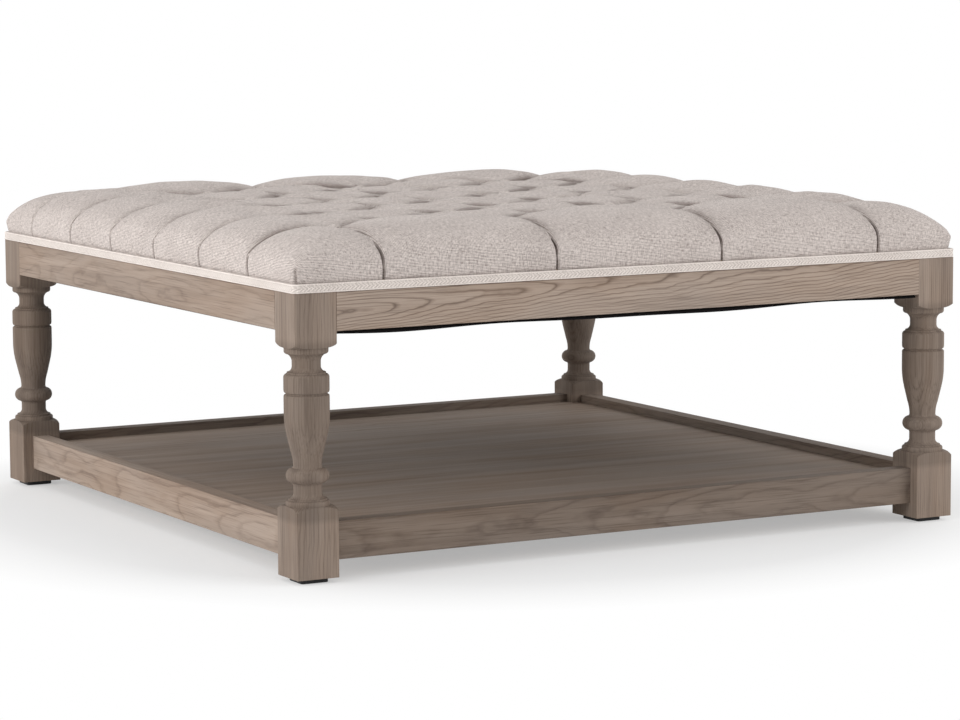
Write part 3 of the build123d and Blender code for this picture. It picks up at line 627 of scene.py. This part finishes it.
class Weld:
    """Collects patch grids into one mesh; points with the same plan place are one vertex."""

    def __init__(self):
        self.index, self.uv, self.quads, self.maps = {}, [], [], []

    def add(self, uv):
        # places are told apart to 0.02 mm
        keys = np.round(uv * 50).astype(np.int64)
        ids = np.empty(uv.shape[:2], int)
        for i in range(uv.shape[0]):
            for j in range(uv.shape[1]):
                k = (keys[i, j, 0], keys[i, j, 1])
                if k not in self.index:
                    self.index[k] = len(self.uv)
                    self.uv.append(uv[i, j])
                ids[i, j] = self.index[k]
        q = np.stack([ids[:-1, :-1], ids[1:, :-1], ids[1:, 1:], ids[:-1, 1:]], -1).reshape(-1, 4)
        a, b, c = uv[0, 0], uv[1, 0], uv[0, 1]
        if (b - a)[0] * (c - a)[1] - (b - a)[1] * (c - a)[0] < 0:
            q = q[:, ::-1]
        self.quads.append(q)
        self.maps.append(ids)
        return ids


def make_mesh(name, points, faces, uv=None):
    """A mesh object from points in millimetres."""
    mesh = bpy.data.meshes.new(name)
    mesh.from_pydata((np.asarray(points) * MM).tolist(), [], [list(map(int, f)) for f in faces])
    if uv is not None:
        layer = mesh.uv_layers.new(name="cloth")
        loops = np.empty(len(mesh.loops), int)
        mesh.loops.foreach_get("vertex_index", loops)
        layer.data.foreach_set("uv", (np.asarray(uv)[loops] * MM).ravel())
    mesh.polygons.foreach_set("use_smooth", [True] * len(mesh.polygons))
    mesh.update()
    ob = bpy.data.objects.new(name, mesh)
    bpy.context.scene.collection.objects.link(ob)
    return ob


def set_painted_shade(ob, values):
    """Stores the painted shade of each point, darkest deep in a fold, for the colour of the cloth."""
    ob.data.attributes.new("fold", "FLOAT", "POINT").data.foreach_set("value", values)


def simulated_points(ob):
    """The points of an object after its modifiers, in millimetres."""
    mesh = ob.evaluated_get(bpy.context.evaluated_depsgraph_get()).data
    co = np.empty(len(mesh.vertices) * 3)
    mesh.vertices.foreach_get("co", co)
    return co.reshape(-1, 3) / MM


def mesh_normals(points, quads):
    """The outward direction at each point of a mesh of quads."""
    d1 = points[quads[:, 2]] - points[quads[:, 0]]
    d2 = points[quads[:, 3]] - points[quads[:, 1]]
    fn = np.cross(d1, d2)
    out = np.zeros_like(points)
    for k in range(4):
        np.add.at(out, quads[:, k], fn)
    return out / np.maximum(np.linalg.norm(out, axis=1, keepdims=True), 1e-12)


def waves(points, size, count, seed):
    """Smooth noise of about -1 to 1 with features of about a given size."""
    r = np.random.default_rng(seed)
    total = np.zeros(len(points))
    for _ in range(count):
        k = r.normal(size=3) / size * 2.2
        total += np.sin(points @ k + r.uniform(0, 2 * math.pi))
    return total / math.sqrt(count / 2)


def relaxed(points, quads, pins):
    """The cloth after a short simulation under pressure, held where it is pinned."""
    ob = make_mesh("cloth_work", points, quads)
    group = ob.vertex_groups.new(name="pin")
    group.add([int(i) for i in pins], 1.0, "REPLACE")
    mod = ob.modifiers.new("Cloth", "CLOTH")
    st = mod.settings
    st.quality = 6
    st.mass = 0.15
    st.tension_stiffness = 15
    st.compression_stiffness = 15
    st.shear_stiffness = 5
    st.bending_stiffness = 0.2
    st.air_damping = 4
    st.vertex_group_mass = "pin"
    st.pin_stiffness = 1.0
    st.shrink_min = -0.03
    st.use_pressure = True
    st.uniform_pressure_force = 1.6
    st.effector_weights.gravity = 0.0
    mod.collision_settings.use_collision = False
    scene = bpy.context.scene
    for f in range(1, CLOTH_FRAMES + 1):
        scene.frame_set(f)
    move = simulated_points(ob) - points
    scene.frame_set(1)
    far = np.linalg.norm(move, axis=1, keepdims=True)
    data = ob.data
    bpy.data.objects.remove(ob)
    bpy.data.meshes.remove(data)
    return points + move * np.minimum(1, MOVE_CAP * np.tanh(far / MOVE_CAP) / np.maximum(far, 1e-9))


def coarse_cloth():
    """The patches, where their points are in one list, and that list after a short simulation."""
    weld, made = Weld(), patches()
    shapes, pins = {}, set()
    for patch in made:
        pleated = patch[4]
        across = COARSE_SIDE if at_corner(patch) else COARSE_FIELD
        down = COARSE_FIELD if pleated == ALL_PLEATS else COARSE_SIDE
        uv = grid(patch, np.linspace(0, 1, across + 1), np.linspace(0, 1, down + 1))
        ids = weld.add(uv)
        shapes.update(zip(ids.ravel(), rough_shape(patch, uv).reshape(-1, 3)))
        for held, side in zip(pleated, (ids[:, 0], ids[-1, :], ids[:, -1], ids[0, :])):
            if held:
                pins.update(side)
    points = np.array([shapes[i] for i in range(len(weld.uv))])
    # the skirt behind the braid is held too
    pins.update(np.nonzero(past_flat(np.array(weld.uv)) > S_GIMP - 3)[0])
    points = relaxed(points, np.concatenate(weld.quads), pins)
    return made, weld.maps, points


def resample(values, shares, axis):
    """Catmull-Rom along one axis of an even grid, at shares from 0 to 1."""
    values = np.moveaxis(values, axis, 0)
    n = len(values) - 1
    x = np.asarray(shares) * n
    i = np.clip(np.floor(x).astype(int), 0, n - 1)
    t = (x - i).reshape(-1, *([1] * (values.ndim - 1)))
    first = 2 * values[0] - values[1]
    last = 2 * values[-1] - values[-2]
    padded = np.concatenate([first[None], values, last[None]])
    p0, p1, p2, p3 = padded[i], padded[i + 1], padded[i + 2], padded[i + 3]
    square = (2 * p0 - 5 * p1 + 4 * p2 - p3) * t**2
    cube = (3 * p1 - p0 - 3 * p2 + p3) * t**3
    out = 0.5 * (2 * p1 + (p2 - p0) * t + square + cube)
    return np.moveaxis(out, 0, axis)


def graded(steps, length):
    """Shares from 0 to 1, closer together near the pleats at both ends."""
    near = np.array(NEAR_PLEAT) / length
    middle = np.linspace(near[-1], 1 - near[-1], steps + 1 - 2 * (len(near) - 1))
    return np.concatenate([near[:-1], middle, (1 - near[:-1])[::-1]])


def graded_side(length):
    """Shares down a side, close together at the top pleat and over the last stretch above the edge."""
    tail = length - np.array(NEAR_EDGE)
    middle = np.linspace(NEAR_PLEAT[-1], tail[0], SIDE_ROWS)[1:-1]
    return np.concatenate([NEAR_PLEAT, middle, tail]) / length


def fine_cloth():
    """The cloth on a finer grid: its plan, points, distances to the nearest pleat, and faces."""
    made, maps, coarse = coarse_cloth()
    fine = Weld()
    points, gaps = {}, {}
    field_shares = graded(FIELD_STEPS, DIAMOND_SIDE)
    for patch, ids in zip(made, maps):
        a, b, c, d, pleated = patch
        us = graded_side(span(a, b)) if at_corner(patch) else field_shares
        vs = field_shares if pleated == ALL_PLEATS else graded_side(span(a, d))
        uv = grid(patch, us, vs)
        gap = np.full(uv.shape[:2], 1e9)
        for flag, (p, q) in zip(pleated, ((a, b), (b, c), (c, d), (d, a))):
            if flag:
                gap = np.minimum(gap, line_distance(uv, p, q))
        new = fine.add(uv).ravel()
        points.update(zip(new, resample(resample(coarse[ids], us, 0), vs, 1).reshape(-1, 3)))
        gaps.update(zip(new, gap.ravel()))
    uv = np.array(fine.uv)
    pts, dist = (np.array([found[i] for i in range(len(uv))]) for found in (points, gaps))
    return uv, pts, dist, np.concatenate(fine.quads)


def fans(uv, r, which):
    """Wrinkles that fan out from each tuft."""
    gone = uv - tufts[which]
    angle = np.arctan2(gone[:, 1], gone[:, 0])
    rnd = np.random.default_rng(3)
    fan = np.zeros(len(uv))
    for k in (5, 7, 9, 12, 15):
        phase = rnd.uniform(0, 2 * math.pi, len(tufts))[which]
        strength = rnd.uniform(0.3, 1.0, len(tufts))[which]
        fan += strength * np.cos(k * angle + phase) / math.sqrt(k)
    return fan * (FAN_HEIGHT * bell(r - 18, 20) * rise(r, 12))


def dart_share(uv, height):
    """How deep in the short dart sewn at each corner a point lies, from 0 to 1."""
    s, t = np.abs(uv[:, 0]) - FLAT, np.abs(uv[:, 1]) - FLAT
    low = rise(DART_TOP - height, 5) * rise(height - DART_FOOT, 4)
    return np.where((s > 0) & (t > 0), bell(np.abs(s - t), DART_WIDTH) * low, 0)


def outside_wadding(points, normals):
    """Moves what has sunk into the wadding back out of it, along the cloth's own normal."""
    node = nodes["wadding_layer"]
    corners_at = [node.matrix_world @ v.co / MM for v in node.data.vertices]
    tree = BVHTree.FromPolygons(corners_at, [tuple(p.vertices) for p in node.data.polygons])
    out = points.copy()
    for i, (p, n) in enumerate(zip(points, normals)):
        hit = tree.ray_cast(Vector(p + n * RAY_START), Vector(-n), RAY_START + CLEARANCE)[0]
        if hit is not None:
            out[i] = np.array(hit) + n * CLEARANCE
    return out


def painted_fold_shade(uv, pts, dist, from_tuft, dart):
    """Painted shade at each point, 0 to 1: along pleats, round tufts, above the braid and in the dart."""
    uneven = np.clip(0.78 + 0.3 * waves(pts, 45.0, 9, 31), 0.25, 1.1)
    # painted shade along each pleat: a thin dark line everywhere, and a wider valley on top
    valley = 0.75 * bell(dist, 7.5) + 0.24 * bell(dist, 17.0)
    shade = 0.95 * bell(dist, 1.3) + slope_share(uv) * uneven * valley
    # painted shade in the tuft hollows, and a line of it just above the braid
    shade += 0.70 * bell(from_tuft, 11.0) + 0.5 * bell(pts[:, 2] - GIMP_TOP - 0.8, 1.3)
    return np.clip(np.maximum(shade, dart), 0, 1)


def underside(uv, pts):
    """What closes the cloth: its border, two rings of points inside it, and the faces between them."""
    border = np.nonzero(np.abs(uv).max(1) > REACH - 0.01)[0].tolist()
    # from the near left corner round, so that each strip below runs from one side to another
    border.sort(key=lambda i: (math.atan2(uv[i, 1], uv[i, 0]) + 0.75 * math.pi + 1e-6) % (2 * math.pi))
    inner = pts[border]
    inner[:, :2] = np.clip(inner[:, :2], -LIP_HALF, LIP_HALF)
    up = inner.copy()
    up[:, 2] = LIP_TOP
    count, start = len(border), len(pts)
    faces = []
    for k in range(count):
        after = (k + 1) % count
        a, b = start + k, start + after
        faces += [(border[after], border[k], a, b), (b, a, a + count, b + count)]
    # strips across the underside; the last one may be a triangle
    low, high = start + count, start + 2 * count - 1
    for k in range((count - 1) // 2):
        faces.append(tuple(dict.fromkeys((high - k, high - k - 1, low + k + 1, low + k))))
    return border, np.concatenate([inner, up]), faces


def build_cushion():
    """The tufted cushion: creased, wrinkled and darted cloth with painted shade, closed on the underside."""
    uv, pts, dist, quads = fine_cloth()
    rho = past_flat(uv)
    from_tuft, which = nearest_tuft(uv)
    # the fold of each pleat: a narrow deep crease that ends at the braid and at the button
    crease = CREASE_DEPTH * bell(dist, CREASE_WIDTH) * (1 - rise(rho - S_GIMP + 1, 3))
    crease = crease * rise(from_tuft - BUTTON_R, 12)
    fan = fans(uv, from_tuft, which) * np.clip(dist / 4, 0.15, 1)
    soft = 0.8 * waves(pts * [1, 1, 0.6], 70.0, 9, 5) + 0.35 * waves(pts, 24.0, 12, 6)
    # these two fade out at the shoulder
    free = 1 - rise(rho - S_SHOULDER + 4, 10)
    pts = pts + mesh_normals(pts, quads) * ((fan + soft) * free - crease)[:, None]
    dart = dart_share(uv, pts[:, 2])
    inward = np.column_stack([-np.sign(uv), np.zeros(len(uv))]) / math.sqrt(2)
    pts = pts + inward * (DART_DEPTH * dart * rise(pts[:, 2] - DART_OPEN, 3))[:, None]
    pts = outside_wadding(pts, mesh_normals(pts, quads))
    shade = painted_fold_shade(uv, pts, dist, from_tuft, dart)
    border, rings, closing = underside(uv, pts)
    plan = np.concatenate([uv, uv[border], uv[border]])
    ob = make_mesh("tufted_cushion", np.concatenate([pts, rings]), [*quads, *closing], plan)
    # painted shade of the folds; none on the underside
    set_painted_shade(ob, np.concatenate([shade, np.zeros(len(rings))]))
    mod = ob.modifiers.new("smooth", "SUBSURF")
    mod.levels = mod.render_levels = 1
    return ob


cushion = build_cushion()
cushion.data.materials.append(linen("linen"))
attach(cushion, "root")
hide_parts("tufted_cover")
dress(["tuft_buttons"], linen("linen_button", source="Object"))


def ring_path(half, corner, step):
    """Points, outward directions and lengths along a square with round corners, in equal steps."""
    straight, bend = 2 * (half - corner), math.pi / 2 * corner
    total = 4 * (straight + bend)
    count = round(total / step)
    at = np.arange(count) * total / count
    side = np.floor(at / (straight + bend)).astype(int)
    way = at - side * (straight + bend)
    turn = np.clip(way - straight, 0, None) / corner
    x = np.where(way < straight, -straight / 2 + way, straight / 2 + corner * np.sin(turn))
    y = np.where(way < straight, -half, -half + corner - corner * np.cos(turn))
    nx, ny = np.sin(turn), -np.cos(turn)
    cs, sn = np.array([1, 0, -1, 0])[side], np.array([0, 1, 0, -1])[side]
    place, outward = (np.stack([p * cs - q * sn, p * sn + q * cs], 1) for p, q in ((x, y), (nx, ny)))
    return place, outward, at


# Braid: half size at its back, lower edge, height, corner, length of its steps
GIMP_BACK, GIMP_LOW, GIMP_TALL, GIMP_CORNER, GIMP_STEP = 499.6, 365.2, 11.7, 6.0, 1.0
# length of a chevron, width of a cord, and how far the valleys between strands stand out
CHEVRON, CORD_WIDTH, STRAND_LOW = 5.4, 2.5, 1.5


def build_gimp():
    """The woven braid: a cord along each edge and chevrons between them."""
    place, outward, at = ring_path(GIMP_BACK, GIMP_CORNER, GIMP_STEP)
    rows = np.array([0.0, 0.5, 1.3, 2.1, 2.7, 4.2, 5.85, 7.5, 9.0, 9.6, 10.4, 11.2, 11.7])
    edge = np.minimum(rows, GIMP_TALL - rows)
    cord = (edge < CORD_WIDTH)[None, :]
    rnd = np.random.default_rng(17)
    wander = np.interp(at, np.linspace(0, at[-1], 260), rnd.normal(0, 0.12, 260))
    slant = np.abs(rows - GIMP_TALL / 2)[None, :] / 4.2
    relief = STRAND_LOW + 0.75 * np.abs(np.sin(math.pi * (at[:, None] / CHEVRON + slant)))
    bead = 1.1 + 1.5 * np.sqrt(np.clip(1 - ((edge - 1.3) / 1.35) ** 2, 0, 1))[None, :]
    bead = bead + 0.14 * np.sin(2 * math.pi * at / 2.4)[:, None]
    out_by = np.where(cord, bead, relief)
    out_by[:, 0] = out_by[:, -1] = 0.7
    out_by = np.clip(out_by, 0.6, 3.2)
    z = GIMP_LOW + rows[None, :] + wander[:, None] * 0.5
    z[:, 0], z[:, -1] = GIMP_LOW, GIMP_LOW + GIMP_TALL
    xy = place[:, None, :] + outward[:, None, :] * out_by[..., None]
    front = np.concatenate([xy, z[..., None]], -1)
    heights = (GIMP_LOW + GIMP_TALL, GIMP_LOW)
    back = np.stack([np.column_stack([place, np.full(len(at), h)]) for h in heights], 1)
    pts = np.concatenate([front, back], 1)
    n, m = pts.shape[:2]
    ids = np.arange(n * m).reshape(n, m)
    beside = np.roll(ids, -1, 0)
    quads = np.stack([ids, beside, np.roll(beside, -1, 1), np.roll(ids, -1, 1)], -1).reshape(-1, 4)
    across = np.concatenate([rows, [GIMP_TALL + 1, -1]])
    uv = np.stack(np.broadcast_arrays(at[:, None], across[None, :]), -1).reshape(-1, 2)
    ob = make_mesh("braided_gimp", pts.reshape(-1, 3), quads, uv)
    # painted shade: deepest in the valleys between the strands, and along both sides of each cord
    cord_edge_shade = 0.55 * ((edge > 2.0) | (edge < 0.4))[None, :]
    depth = np.zeros(pts.shape[:2])
    depth[:, : len(rows)] = np.clip(np.where(cord, cord_edge_shade, 1.1 - (relief - STRAND_LOW) / 0.62), 0, 1)
    set_painted_shade(ob, depth.ravel())
    return ob


gimp = build_gimp()
gimp.data.materials.append(braid_cloth("braid"))
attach(gimp, "root")
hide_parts("gimp_braid")


# Dust cover: half size inside the legs' notches, height, where its hem starts, what counts as its front
DUST_NOTCH, DUST_TOP, HEM_START, DUST_FRONT = 441.0, 315.6, 489.5, -480


def build_dust_cover():
    """The black cloth under the seat: flat along the rails, sagging inside them, with a loose wavy hem."""
    edge = np.array([DUST_NOTCH, 448, 455, 462, 469, 475, 480, 485, HEM_START, 490.8, 492.2, 494])
    steps = np.concatenate([-edge[:0:-1], np.linspace(-DUST_NOTCH, DUST_NOTCH, 112), edge[1:]])
    X, Y = np.meshgrid(steps, steps, indexing="ij")
    flat = np.stack([X, Y, np.zeros_like(X)], -1).reshape(-1, 3)
    far = np.maximum(np.abs(X), np.abs(Y)).ravel()
    inside = rise(470 - far, 140)
    sag = 4.5 * inside * inside * (3 - 2 * inside) + 1.1 * waves(flat, 95.0, 9, 21) * rise(474 - far, 30)
    drop = 3.0 + 1.6 * waves(flat, 120.0, 7, 23) + 1.8 * bell(flat[:, 0] + 230, 190)
    drop = np.where(flat[:, 1] < DUST_FRONT, np.clip(drop, 0.8, 6.5), 0.5)
    down = np.maximum(sag, 0) + rise(far - HEM_START, 4.5) * drop
    pts = np.column_stack([flat[:, :2], DUST_TOP - down])
    n = len(steps)
    ids = np.arange(n * n).reshape(n, n)
    quads = np.stack([ids[:-1, :-1], ids[1:, :-1], ids[1:, 1:], ids[:-1, 1:]], -1).reshape(-1, 4)
    # inside a leg's notch the cloth is cut away
    quads = quads[~(np.abs(flat[quads].mean(1)[:, :2]) > DUST_NOTCH).all(1)]
    used = np.unique(quads)
    new = np.full(n * n, -1)
    new[used] = np.arange(len(used))
    ob = make_mesh("dust_cloth", pts[used], new[quads], flat[used, :2])
    mod = ob.modifiers.new("cloth", "SOLIDIFY")
    mod.thickness, mod.offset = 0.0006, -1.0
    return ob


dust = build_dust_cover()
black_cloth = simple(
    "black_cloth", lin(17, 16, 17), lin(31, 29, 30), 900.0, rough=0.92, bump=0.0003, specular=0.1
)
dust.data.materials.append(black_cloth)
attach(dust, "root")
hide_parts("dust_cover")


# Floor, light
# The floor glows a little under the table and fully further out, so that it meets the white behind it.
FLOOR_NEAR, FLOOR_SLOPE = 0.66, 5.2
GLOW_NEAR, GLOW_MORE = 0.40, 0.60


def add_floor():
    """A wide round floor, which isn't part of the object."""
    n = Net("floor")
    x, y, _ = n.xyz(n.coords())
    r = n.math("SQRT", n.add(n.mul(x, x), n.mul(y, y)))
    far = n.math("MINIMUM", 1.0, n.mul(n.math("MAXIMUM", n.add(r, -FLOOR_NEAR), 0.0), FLOOR_SLOPE))
    glow = n.mul(n.math("MULTIPLY_ADD", far, GLOW_MORE, GLOW_NEAR), n.seen())
    n.blend(glow, n.plain("ShaderNodeBsdfDiffuse", 0.90), n.plain("ShaderNodeEmission"))
    bpy.ops.mesh.primitive_circle_add(vertices=96, radius=160, fill_type="NGON", location=(0, 0, 0))
    floor = bpy.context.object
    floor.name = "floor"
    floor.data.materials.append(n.data)


add_floor()


def add_area(name, place, target, size, power):
    """A lamp at one place, turned to another, with its power in watts."""
    data = bpy.data.lights.new(name, "AREA")
    data.shape = "RECTANGLE"
    data.size, data.size_y = size
    data.energy = power
    ob = bpy.data.objects.new(name, data)
    ob.location = place
    ob.rotation_euler = (Vector(target) - Vector(place)).to_track_quat("-Z", "Y").to_euler()
    bpy.context.scene.collection.objects.link(ob)


add_area("key", place=(-4.2, -0.2, 1.5), target=(0, 0, 0.3), size=(2.4, 1.6), power=81)
add_area("front", place=(2.8, -3.4, 1.6), target=(0.2, 0, 0.3), size=(2.4, 1.8), power=54)


def set_world():
    """White to the camera; as light, a pale sky that grows brighter upwards."""
    n = Net("world", world=True)
    sky = n.node("ShaderNodeMapRange")
    for socket, value in (("From Min", 0.0), ("From Max", 0.9), ("To Min", 0.64), ("To Max", 0.76)):
        sky.inputs[socket].default_value = value
    n.link(n.xyz(n.node("ShaderNodeTexCoord").outputs["Generated"])[2], sky.inputs["Value"])
    light = n.plain("ShaderNodeBackground")
    n.link(sky.outputs[0], light.inputs[1])
    n.blend(n.seen(), light, n.plain("ShaderNodeBackground"))
    bpy.context.scene.world = n.data


set_world()
bpy.context.scene.view_settings.view_transform = "Standard"
